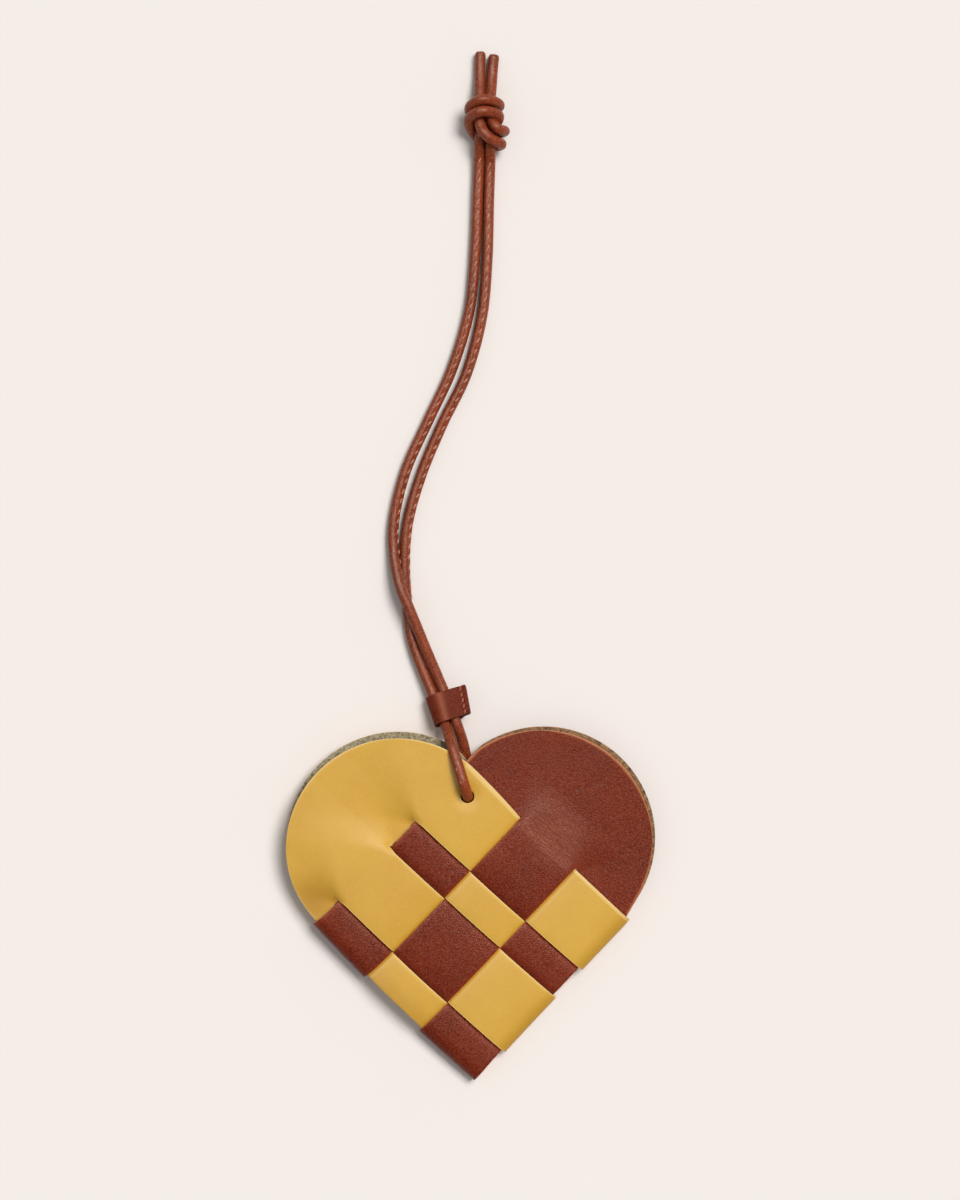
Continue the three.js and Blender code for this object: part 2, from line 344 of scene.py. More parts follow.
cordLook = {
    "base": (0.215, 0.031, 0.0085, 1), "deep": (0.115, 0.014, 0.004, 1), "light": (0.44, 0.11, 0.036, 1),
    "speckle": 0.55, "pebble": 2200.0, "rough": 0.25, "roughSpread": 0.12, "specular": 0.36,
    "bump": 0.5, "bumpDepth": 0.0001, "highlightAndPaleEdge": 0.35, "sheenTint": (1.0, 0.82, 0.70, 1),
}
# the slider's light colour also paints its crest highlight
sliderLook = {
    "base": (0.14, 0.015, 0.0045, 1), "deep": (0.098, 0.009, 0.003, 1), "light": (0.50, 0.16, 0.085, 1),
    "speckle": 0.16, "pebble": 2300.0, "rough": 0.24, "roughSpread": 0.07, "specular": 0.05,
    "bump": 0.5, "bumpDepth": 0.0001, "highlightAndPaleEdge": 0.42, "sheenTint": (1.0, 0.80, 0.66, 1),
}
edgeLooks = {
    "yellow": {"deep": (0.70, 0.44, 0.17, 1), "light": (1.0, 0.84, 0.55, 1), "size": 1600.0},
    "brown": {"deep": (0.40, 0.14, 0.055, 1), "light": (0.85, 0.42, 0.20, 1), "size": 1600.0},
    "slider": {"deep": (0.045, 0.012, 0.008, 1), "light": (0.16, 0.045, 0.022, 1), "size": 1800.0},
    "sliderThread": {"deep": (0.17, 0.042, 0.020, 1), "light": (0.50, 0.20, 0.12, 1), "size": 2500.0},
    "thread": {"deep": (0.32, 0.10, 0.060, 1), "light": (0.72, 0.36, 0.26, 1), "size": 2500.0},
}
fleshLooks = {
    "yellow": {"deep": (0.11, 0.085, 0.045, 1), "light": (0.50, 0.42, 0.26, 1), "size": 1300.0},
    "brown": {"deep": (0.050, 0.028, 0.016, 1), "light": (0.40, 0.23, 0.11, 1), "size": 1300.0},
}

yellowLeather = grainMaterial("yellowLeather", yellowLook)
brownLeather = grainMaterial("brownLeather", brownLook)
cordLeather = grainMaterial("cordLeather", cordLook)
sliderLeather = grainMaterial("sliderLeather", sliderLook)
yellowEdge = fibreMaterial("yellowEdge", edgeLooks["yellow"])
brownEdge = fibreMaterial("brownEdge", edgeLooks["brown"])
sliderEdge = fibreMaterial("sliderEdge", edgeLooks["slider"])
stitchThread = fibreMaterial("stitchThread", edgeLooks["thread"])
sliderThread = fibreMaterial("sliderThread", edgeLooks["sliderThread"])
yellowFlesh = fibreMaterial("yellowFlesh", fleshLooks["yellow"])
brownFlesh = fibreMaterial("brownFlesh", fleshLooks["brown"])
print("leather materials ready")


bpy.context.scene.view_settings.view_transform = "Standard"

# Camera, straight above the table, at the photograph's framing
view = {
    "millimetresPerPixel": 0.25, "pixelsHigh": 1200, "middlePixel": (480, 600), "heartPixel": (471.2, 902.6),
    "height": 0.9, "sensor": 36.0,
}


def makeCamera():
    frameHeight = view["pixelsHigh"] * view["millimetresPerPixel"] * mm
    data = bpy.data.cameras.new("camera")
    data.sensor_fit = "VERTICAL"
    data.sensor_height = view["sensor"]
    data.lens = view["sensor"] * view["height"] / frameHeight
    camera = bpy.data.objects.new("camera", data)
    x = (view["middlePixel"][0] - view["heartPixel"][0]) * view["millimetresPerPixel"] * mm
    y = (view["heartPixel"][1] - view["middlePixel"][1]) * view["millimetresPerPixel"] * mm
    camera.location = (x, y, view["height"])
    bpy.context.scene.collection.objects.link(camera)
    bpy.context.scene.camera = camera


makeCamera()

# The cord's middle line, millimetres from the hole, heights over the table
cord = {
    "diameter": 2.7, "hole": (-0.8908, 27.1066), "boreHeight": 5.36,
    "sides": 28, "step": 0.4, "fineSteps": 24,
    "grooveDepth": 0.16, "grooveWidth": 0.24, "puff": 0.07, "puffAside": 0.55, "puffWidth": 0.3,
    "stitchPitch": 2.6, "stitchLength": 1.5, "stitchWidth": 0.42, "stitchLean": 0.35, "threadSink": 0.45,
    "seamStart": 31.0, "seamEnd": 159.5, "seamMargin": 1, "seamFade": 3, "steepest": 0.6,
    "crowding": 0.4, "endTaper": (0.74, 0.94),
    "freeStitches": [(6.8, -30), (3.6, -30)], "freeStitchLength": 0.7, "freeStitchWidth": 0.3, "hump": 9,
}
cordLeftEndAndKnot = [
    (3.2, 185.3, 1.4), (3.1, 178.6, 1.8), (3.0, 174.2, 3.2), (3.0, 170.0, 4.7), (3.2, 166.2, 6.2),
    (5.3, 163.3, 6.9), (8.4, 161.9, 4.1), (5.5, 162.0, 1.6), (2.0, 164.5, 2.0), (0.4, 167.9, 5.2),
    (3.4, 169.6, 8.3), (7.7, 168.8, 5.9), (6.8, 166.3, 3.7), (5.8, 162.4, 4.2), (5.6, 157.6, 2.0),
]
cordLowerStrand = [
    (5.3, 148.6, 1.5), (4.9, 133.6, 1.4), (3.6, 119.4, 1.4), (-0.3, 104.9, 1.4), (-6.3, 92.4, 1.4),
    (-11.8, 79.1, 1.4), (-15.0, 67.4, 1.4), (-15.7, 57.9, 1.4), (-15.2, 48.6, 1.4),
    (-13.8, 38.6, 1.5),
]
cordSliderAndHole = [
    (-8.3, 24.1, 2.4), (-5.8, 18.0, 4.3), (-3.6, 11.6, 8.6), (-2.0, 6.6, 10.0), (-0.7, 2.4, 10.2),
    (0.0, 0.05, 8.3), (0.0, 0.0, 3.4), (0.0, 0.8, 1.8), (0.0, 2.6, 1.45), (-0.1, 7.0, 1.7),
    (-1.0, 12.4, 3.1), (-3.2, 19.1, 4.3), (-5.7, 25.2, 2.4),
]
cordUpperStrand = [
    (-10.3, 36.1, 3.1), (-14.3, 45.9, 4.2), (-16.7, 51.6, 4.0), (-18.4, 60.4, 2.0),
    (-18.4, 68.1, 1.5), (-15.5, 80.6, 1.4), (-9.7, 93.6, 1.4), (-4.0, 105.9, 1.4),
    (0.4, 120.6, 1.4), (1.8, 133.6, 1.4), (2.5, 148.6, 1.5),
]
cordKnotAndRightEnd = [
    (2.9, 158.6, 2.0), (3.1, 163.6, 4.2), (4.2, 167.4, 3.6), (6.0, 169.9, 2.3), (7.9, 171.6, 4.6),
    (4.0, 172.6, 7.8), (0.6, 171.0, 5.2), (1.8, 168.2, 2.0), (5.6, 165.2, 1.6), (9.2, 165.2, 3.9),
    (7.4, 165.6, 6.6), (5.8, 168.3, 5.3), (5.6, 172.0, 4.3), (5.9, 176.0, 2.6), (6.2, 180.5, 1.5),
    (6.6, 184.6, 1.4),
]
# how far the seam has turned from the top towards the right, by the distance from the hole
seamTurns = {
    "lowerStrand": [(40, 120), (48, 85), (58, 60), (68, 40), (91, 30), (130, 5), (161, -5)],
    "upperStrand": [(45, 140), (58, 95), (68, 50), (91, 30), (100, 15), (161, 5)],
}


def smoothRoute(points, step):
    # centripetal curve through the points, then evenly spaced
    ends = [2 * points[0] - points[1]] + points + [2 * points[-1] - points[-2]]
    fine = []
    for k in range(1, len(ends) - 2):
        a, b, c, d = ends[k - 1:k + 3]
        t1 = (b - a).length ** 0.5
        t2 = t1 + (c - b).length ** 0.5
        t3 = t2 + (d - c).length ** 0.5
        for n in range(cord["fineSteps"]):
            t = t1 + (t2 - t1) * n / cord["fineSteps"]
            ab = a.lerp(b, t / t1)
            bc = b.lerp(c, (t - t1) / (t2 - t1))
            cd = c.lerp(d, (t - t2) / (t3 - t2))
            first = ab.lerp(bc, t / t2)
            second = bc.lerp(cd, (t - t1) / (t3 - t1))
            fine.append(first.lerp(second, (t - t1) / (t2 - t1)))
    fine.append(points[-1])
    lengths = [0.0]
    for before, after in zip(fine, fine[1:]):
        lengths.append(lengths[-1] + (after - before).length)
    count = round(lengths[-1] / step)
    even = []
    k = 0
    for n in range(count + 1):
        goal = lengths[-1] * n / count
        while k < len(fine) - 2 and lengths[k + 1] < goal:
            k += 1
        share = (goal - lengths[k]) / max(lengths[k + 1] - lengths[k], 1e-9)
        even.append(fine[k].lerp(fine[k + 1], share))
    return even, lengths[-1]


hole = Vector((cord["hole"][0], cord["hole"][1], 0))
cordPoints = cordLeftEndAndKnot + cordLowerStrand + cordSliderAndHole + cordUpperStrand + cordKnotAndRightEnd
cordPoints = [(Vector(point) + hole) * mm for point in cordPoints]
cordRoute, cordLength = smoothRoute(cordPoints, cord["step"] * mm)


def routeFrames(route):
    # direction and a sideways vector that doesn't twist, at each point
    frames = []
    side = Vector((1, 0, 0))
    for k, point in enumerate(route):
        run = (route[min(k + 1, len(route) - 1)] - route[max(k - 1, 0)]).normalized()
        side = (side - run * side.dot(run)).normalized()
        frames.append((point, run, side, run.cross(side)))
    return frames


def readTurn(turns, place):
    if place <= turns[0][0]:
        return turns[0][1]
    for (low, first), (high, last) in zip(turns, turns[1:]):
        if place <= high:
            return first + (last - first) * (place - low) / (high - low)
    return turns[-1][1]


def turnedUp(run, turn):
    # the way out of the cord that is turned so far from the top towards the right
    right = Vector((run.y, -run.x, 0)).normalized()
    if right.x < 0:
        right = -right
    top = run.cross(right)
    if top.z < 0:
        top = -top
    return top * math.cos(turn) + right * math.sin(turn)


def seamAngles(name, frames):
    # where the seam is in each frame, held where the cord leaves the straight part
    angles = [None] * len(frames)
    for k, (point, run, side, up) in enumerate(frames):
        place = point.y / mm - cord["hole"][1]
        if cord["seamStart"] < place < cord["seamEnd"] and abs(run.z) < cord["steepest"]:
            out = turnedUp(run, math.radians(readTurn(seamTurns[name], place)))
            angles[k] = math.atan2(out.dot(up), out.dot(side))
    known = [k for k, angle in enumerate(angles) if angle is not None]
    for before, after in zip(known, known[1:]):
        while angles[after] - angles[before] > math.pi:
            angles[after] -= 2 * math.pi
        while angles[after] - angles[before] < -math.pi:
            angles[after] += 2 * math.pi
    for k in range(known[0]):
        angles[k] = angles[known[0]]
    for k in range(known[-1], len(frames)):
        angles[k] = angles[known[-1]]
    return angles


def makeStrand(name, frames, bareEnd):
    radius = cord["diameter"] / 2
    rows, sides = len(frames), cord["sides"]
    angles = seamAngles(name, frames)
    bm = bmesh.new()
    bmesh.ops.create_grid(bm, x_segments=rows - 1, y_segments=sides, size=0.5)
    for vert in bm.verts:
        k = round((vert.co.x + 0.5) * (rows - 1))
        n = round((vert.co.y + 0.5) * sides)
        point, run, side, up = frames[k]
        even = 2 * math.pi * n / sides
        offset = even - cord["crowding"] * math.sin(even)  # the sides lie closer together at the seam
        away = min(offset, 2 * math.pi - offset)
        place = point.y / mm - cord["hole"][1]
        sewn = smoothStep((place - cord["seamStart"]) / cord["seamFade"])
        sewn *= smoothStep((cord["seamEnd"] + cord["seamMargin"] - place) / cord["seamFade"])
        between = math.sin(math.pi * k * cord["step"] / cord["stitchPitch"]) ** 2
        out = radius - sewn * cord["grooveDepth"] * math.exp(-(away / cord["grooveWidth"]) ** 2)
        puffed = math.exp(-((away - cord["puffAside"]) / cord["puffWidth"]) ** 2)
        out += sewn * cord["puff"] * (between - 0.5) * puffed
        fromEnd = k if bareEnd == 0 else rows - 1 - k
        if fromEnd < len(cord["endTaper"]):
            out *= cord["endTaper"][fromEnd]
        angle = angles[k] + offset
        vert.co = point + (side * math.cos(angle) + up * math.sin(angle)) * out * mm
    bmesh.ops.remove_doubles(bm, verts=bm.verts, dist=radius * mm / 100)
    rims = [edge for edge in bm.edges if edge.is_boundary]
    bmesh.ops.holes_fill(bm, edges=rims, sides=0)
    bmesh.ops.recalc_face_normals(bm, faces=bm.faces)
    piece = newObject(name, bm, [cordLeather])
    shadeSmooth(piece)
    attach(piece, "root")
    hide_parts("cord")
    return piece


def addStitch(bm, place, along, out, length, width, lean):
    # one short thread, lying across the seam at a slant
    across = along.cross(out).normalized()
    slant = (along * math.cos(lean) + across * math.sin(lean)).normalized()
    beside = slant.cross(out).normalized()
    turn = Matrix((slant, beside, out)).transposed().to_4x4()
    shape = Matrix.Diagonal((length / 2, width / 2, width / 2, 1))
    matrix = Matrix.Translation(place) @ turn @ shape @ Matrix.Rotation(math.pi / 2, 4, "Y")
    bmesh.ops.create_uvsphere(bm, u_segments=8, v_segments=6, radius=1.0, matrix=matrix)


def makeStitches(name, strand, frames, freeStitches):
    radius = (cord["diameter"] / 2 - cord["grooveDepth"] * cord["threadSink"]) * mm
    margin = cord["seamMargin"]
    angles = seamAngles(strand, frames)
    every = cord["stitchPitch"] / cord["step"]
    bm = bmesh.new()
    number = 0
    for k, (point, run, side, up) in enumerate(frames):
        place = point.y / mm - cord["hole"][1]
        if k < number * every:
            continue
        number += 1
        if not cord["seamStart"] + margin < place < cord["seamEnd"] - margin or abs(run.z) > cord["steepest"]:
            continue
        out = side * math.cos(angles[k]) + up * math.sin(angles[k])
        length, width = cord["stitchLength"] * mm, cord["stitchWidth"] * mm
        addStitch(bm, point + out * radius, run, out, length, width, cord["stitchLean"])
    for place, turn in freeStitches:
        near = [k for k in range(len(frames)) if frames[k][0].z > cord["hump"] * mm]
        k = min(near, key=lambda n: abs(frames[n][0].y / mm - cord["hole"][1] - place))
        point, run = frames[k][0], frames[k][1]
        out = turnedUp(run, math.radians(turn))
        length, width = cord["freeStitchLength"] * mm, cord["freeStitchWidth"] * mm
        addStitch(bm, point + out * cord["diameter"] / 2 * mm, run, out, length, width, 0.0)
    piece = newObject(name, bm, [stitchThread])
    shadeSmooth(piece)
    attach(piece, "root")


cordFrames = routeFrames(cordRoute)
bore = (hole + Vector((0, 0, cord["boreHeight"]))) * mm
atBore = min(range(len(cordRoute)), key=lambda k: (cordRoute[k] - bore).length)
lowerStrand = makeStrand("lowerStrand", cordFrames[:atBore + 1], 0)
upperStrand = makeStrand("upperStrand", cordFrames[atBore:], 1)
makeStitches("lowerStitches", "lowerStrand", cordFrames[:atBore + 1], cord["freeStitches"])
makeStitches("upperStitches", "upperStrand", cordFrames[atBore:], [])
print("cord ready,", round(cordLength * 1000), "mm long")


# The slider: one strip wrapped round both strands, its ends sewn together beside them
slider = {
    "length": 7.4, "leather": 0.7, "reach": 1.425, "middleRadius": 2.05, "bendStep": math.pi / 12,
    "edgeRound": 0.12,
    "tabEnd": 6.4, "tabTop": 1.52, "tabLow": 0.80, "lowReach": 0.55, "lowDrop": 0.35, "lowStops": (4.7, 5.5),
    "topLine": [
        (5.8, 1.55), (5.1, 1.60), (4.4, 1.68), (3.6, 1.79), (2.8, 1.90), (2.0, 2.01),
        (1.2, 2.12), (0.5, 2.19), (-0.2, 2.20), (-0.9, 2.14), (-1.6, 2.02),
    ],
    "place": (-5.73, 21.6), "height": 3.355, "turn": 17.6, "pitch": 16.0, "roll": -4.0, "cells": 12,
    "leanStart": -3.8, "leanRun": 10.2, "leanLeft": -0.03, "leanRight": 0.12,
    "seam": 5.05, "grooveDepth": 0.42, "grooveWidth": 0.5, "pressedFlat": 0.55, "pressedWave": 0.45,
    "stitches": 5, "stitchLength": 1.25, "stitchWidth": 0.6, "stitchSink": 0.12, "stitchRun": (0.12, 1, 0),
    "stitchLean": 0.3, "highlightMiddle": -0.2, "highlightWidth": 0.8, "highlightLow": 1,
}


def sliderPlace():
    turn = Matrix.Rotation(math.radians(slider["turn"]), 4, "Z")
    pitch = Matrix.Rotation(-math.radians(slider["pitch"]), 4, "X")
    spot = Vector((slider["place"][0], slider["place"][1], slider["height"])) + hole
    roll = Matrix.Rotation(math.radians(slider["roll"]), 4, "Y")
    return Matrix.Translation(spot * mm) @ turn @ pitch @ roll


def sliderShear(x, y):
    share = (x - slider["leanStart"]) / slider["leanRun"]
    return x + y * (slider["leanLeft"] * (1 - share) + slider["leanRight"] * share)


def makeSlider():
    reach, radius = slider["reach"], slider["middleRadius"]
    tabTop, tabLow = slider["tabTop"], slider["tabLow"]
    left = [n * slider["bendStep"] for n in range(2, 13)]
    right = [n * slider["bendStep"] for n in range(5)]
    profile = [(slider["tabEnd"], tabTop)] + slider["topLine"]
    profile += [(-reach - radius * math.sin(a), radius * math.cos(a)) for a in left]
    profile += [(reach + radius * math.sin(a), -radius * math.cos(a)) for a in right]
    profile.append((reach + radius + slider["lowReach"], tabLow - slider["lowDrop"]))
    profile += [(x, tabLow) for x in slider["lowStops"] + (slider["tabEnd"],)]
    half, cells = slider["length"] / 2, slider["cells"]
    bm = bmesh.new()
    highlightAndPaleEdge = bm.verts.layers.float.new("highlightAndPaleEdge")
    verts = [bm.verts.new((x, -half, z)) for x, z in profile]
    edges = [bm.edges.new(pair) for pair in zip(verts, verts[1:])]
    for n in range(cells):
        made = bmesh.ops.extrude_edge_only(bm, edges=edges)["geom"]
        moved = [item for item in made if isinstance(item, bmesh.types.BMVert)]
        edges = [item for item in made if isinstance(item, bmesh.types.BMEdge)]
        bmesh.ops.translate(bm, verts=moved, vec=(0, slider["length"] / cells, 0))
    faceUp(bm)
    for vert in bm.verts:
        if vert.co.z > slider["highlightLow"]:  # the crest is painted paler: a painted highlight along the wrap's top
            vert[highlightAndPaleEdge] = math.exp(-((vert.co.x - slider["highlightMiddle"]) / slider["highlightWidth"]) ** 2)
        vert.co *= mm
    piece = newObject("sliderWrap", bm, [sliderLeather, sliderLeather, sliderEdge])
    smooth = piece.modifiers.new("smooth", "SUBSURF")
    smooth.levels = 2
    smooth.render_levels = 2
    applyModifiers(piece)
    pitch = slider["length"] / slider["stitches"]
    for vert in piece.data.vertices:
        x, y, z = vert.co / mm
        if z > (tabTop + tabLow) / 2 and x > reach:
            pressed = slider["pressedFlat"] + slider["pressedWave"] * math.cos(2 * math.pi * y / pitch)
            aside = (x - slider["seam"]) / slider["grooveWidth"]
            z -= slider["grooveDepth"] * pressed * math.exp(-aside ** 2)
        vert.co = Vector((sliderShear(x, y), y, z)) * mm
    addThickness(piece, slider["leather"])
    addRim(piece, slider["edgeRound"])
    applyModifiers(piece)
    piece.data.transform(sliderPlace())
    shadeSmooth(piece)
    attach(piece, "root")
    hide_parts("slider")


def makeSliderStitches():
    bm = bmesh.new()
    pitch = slider["length"] / slider["stitches"]
    for n in range(slider["stitches"]):
        y = (n - (slider["stitches"] - 1) / 2) * pitch
        z = slider["tabTop"] + slider["leather"] / 2 - slider["stitchSink"]
        spot = Vector((sliderShear(slider["seam"], y), y, z)) * mm
        addStitch(
            bm, spot, Vector(slider["stitchRun"]).normalized(), Vector((0, 0, 1)),
            slider["stitchLength"] * mm, slider["stitchWidth"] * mm, slider["stitchLean"],
        )
    piece = newObject("sliderStitches", bm, [sliderThread])
    piece.data.transform(sliderPlace())
    shadeSmooth(piece)
    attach(piece, "root")


makeSlider()
makeSliderStitches()
print("slider ready")


# The two woven halves
weave = {
    "leather": 1.0, "layerGap": 0.3, "yellowRows": (18.5, 9.25, 18.5, 9.25), "brownRows": (18.5, 18.5, 18.5),
    "cell": 0.9, "fineCell": 0.32, "fineSpan": 3, "narrow": 2.0, "roundCount": 34, "foldCount": 14,
    "dipBefore": 0.9, "dipAfter": 0.6, "slitRun": 0.3, "slitBlur": 0.6, "blurGrowth": 0.85,
    "foldProud": 0.4, "foldReach": 3.2, "foldEase": 1.3, "foldRoom": 0.6,
    "edgeInset": 0.9, "edgeRound": 0.4, "notchBulge": 0.9, "roundSink": 1.8, "paleEdgeWidth": 0.5,
    "crown": 0.45, "fullCrownRun": 18.5, "restCrown": 0.4, "sideDrop": 0.12,
    "lastRiseStart": 1.0, "lastRiseRun": 3.4, "holeInset": 5.2, "holeRadius": 1.7, "holeSides": 48,
    "holeTurn": 0.037, "holeDent": 0.4, "holeDentWidth": 1.3,
}
lie = {"turn": 1.7, "tilt": 2.417, "hole": (-0.8908, 27.1066, 5.3578)}
weave["pitch"] = weave["leather"] + weave["layerGap"]
weave["inner"] = weave["pitch"] / 2
weave["outer"] = weave["pitch"] * 1.5
halves = {
    "yellow": {
        "rows": weave["yellowRows"], "crossings": weave["brownRows"],
        "isOver": lambda row, k: (row + k) % 2 == 0, "paleCuts": True, "slips": ((0, 0), (-0.95, -1.0)),
        "lobeLevel": 0.85, "slitLevel": 0.97, "riseStart": 22.0, "riseRun": 20.0,
    },
    "brown": {
        "rows": weave["brownRows"], "crossings": weave["yellowRows"],
        "isOver": lambda row, k: (row + k) % 2 == 1, "paleCuts": False, "slips": ((-0.7, -0.6), (-1.8, -0.6)),
        "lobeLevel": 0.10, "slitLevel": 0.62, "riseStart": 11.0, "riseRun": 8.0,
    },
}


def spread(start, end, cell):
    count = max(1, round((end - start) / cell))
    return [start + (end - start) * n / count for n in range(count)]


def rowLines(rows):
    # places of the grid lines across a half, with the row that each belongs to
    gap = weave["layerGap"] / 2
    lines = []
    low = 0.0
    for row, width in enumerate(rows):
        high = low + width
        last = row == len(rows) - 1
        stops = [-weave["notchBulge"] if row == 0 else low + gap, low + weave["narrow"]]
        if last:
            stops += [high - weave["edgeInset"] - weave["foldRoom"], high - weave["edgeInset"]]
        else:
            stops += [high - weave["narrow"], high - gap]
        for start, end in zip(stops, stops[1:]):
            lines += [(w, row) for w in spread(start, end, weave["cell"])]
        lines.append((stops[-1], row))
        low = high
    return lines


def runLines(crossings):
    # places of the grid lines along the loops, up to where the folds start, close together at each dip
    gap = weave["layerGap"] / 2
    stops = [-weave["slitRun"], 0.0, gap, weave["lastRiseRun"] - weave["lastRiseStart"]]
    along = 0.0
    for length in crossings[:-1]:
        along += length
        stops += [along - weave["dipBefore"], along - gap, along + gap]
        stops += [along + weave["dipAfter"], along + weave["dipBefore"]]
    stops.append(along + crossings[-1] + weave["foldProud"] - weave["leather"] / 2 - weave["foldReach"])
    lines = []
    for start, end in zip(stops, stops[1:]):
        lines += spread(start, end, weave["fineCell"] if end - start < weave["fineSpan"] else weave["cell"])
    lines.append(stops[-1])
    return lines


def rowOf(rows, w):
    low = 0.0
    for row, width in enumerate(rows):
        if w < low + width or row == len(rows) - 1:
            return row, low, width
        low += width


def slitShare(half, w, blur):
    # how much the leather at one place of the slits' line belongs to loops that go over
    share = 0.0
    low = 0.0
    rows = half["rows"]
    for row, width in enumerate(rows):
        if half["isOver"](row, 0):
            first = 1.0 if row == 0 else smoothStep(0.5 + (w - low) / (2 * blur))
            last = 1.0 if row == len(rows) - 1 else smoothStep(0.5 + (low + width - w) / (2 * blur))
            share += first + last - 1
        low += width
    return share


def loopHeight(half, x, w):
    # height of a half's middle over the weave's middle plane
    rows, crossings, isOver = half["rows"], half["crossings"], half["isOver"]
    inner, outer = weave["inner"], weave["outer"]
    before, after = weave["dipBefore"], weave["dipAfter"]
    row, low, width = rowOf(rows, w)
    aside = min(abs(2 * (w - low) / width - 1), 1.0)
    if (row == 0 and w < low + width / 2) or (row == len(rows) - 1 and w > low + width / 2):
        aside = 0.0
    own = 1.0 if isOver(row, 0) else 0.0
    first = slitShare(half, w, weave["slitBlur"] + weave["blurGrowth"] * max(-x, 0.0))
    first += (own - first) * smoothStep(x / (weave["lastRiseRun"] - weave["lastRiseStart"]))
    climbed = smoothStep((x + half["riseStart"]) / half["riseRun"])
    level = half["lobeLevel"] + (half["slitLevel"] - half["lobeLevel"]) * climbed
    level += (1 - half["slitLevel"]) * smoothStep((x + weave["lastRiseStart"]) / weave["lastRiseRun"])
    share = first * level * smoothStep((crossings[0] + after - x) / (before + after))
    crown = 0.0
    along = 0.0
    for k, length in enumerate(crossings):
        if k == 0:
            inside = min(max(x / length, 0.5), 1.0)
            crown += smoothStep(4 * inside * (1 - inside)) * share
        elif isOver(row, k):
            inside = min(max((x - along) / length, 0.0), 1.0)
            crown += smoothStep(4 * inside * (1 - inside)) * length / weave["fullCrownRun"]
            rise = smoothStep((x - along + after) / (before + after))
            last = k == len(crossings) - 1
            fall = 1.0 if last else smoothStep((along + length + after - x) / (before + after))
            share = max(share, min(rise, fall))
        along += length
    return inner + (outer - inner) * share + weave["crown"] * crown - weave["sideDrop"] * aside ** 4 * share


def easeEdge(w, share):
    # the cut edge beside the notch runs inwards along the first tile
    lean = max(0.0, 1 - (w + weave["notchBulge"]) / (weave["narrow"] + weave["notchBulge"]))
    return w + (weave["notchBulge"] + weave["layerGap"] / 2) * min(max(share, 0.0), 1.0) ** 2 * lean


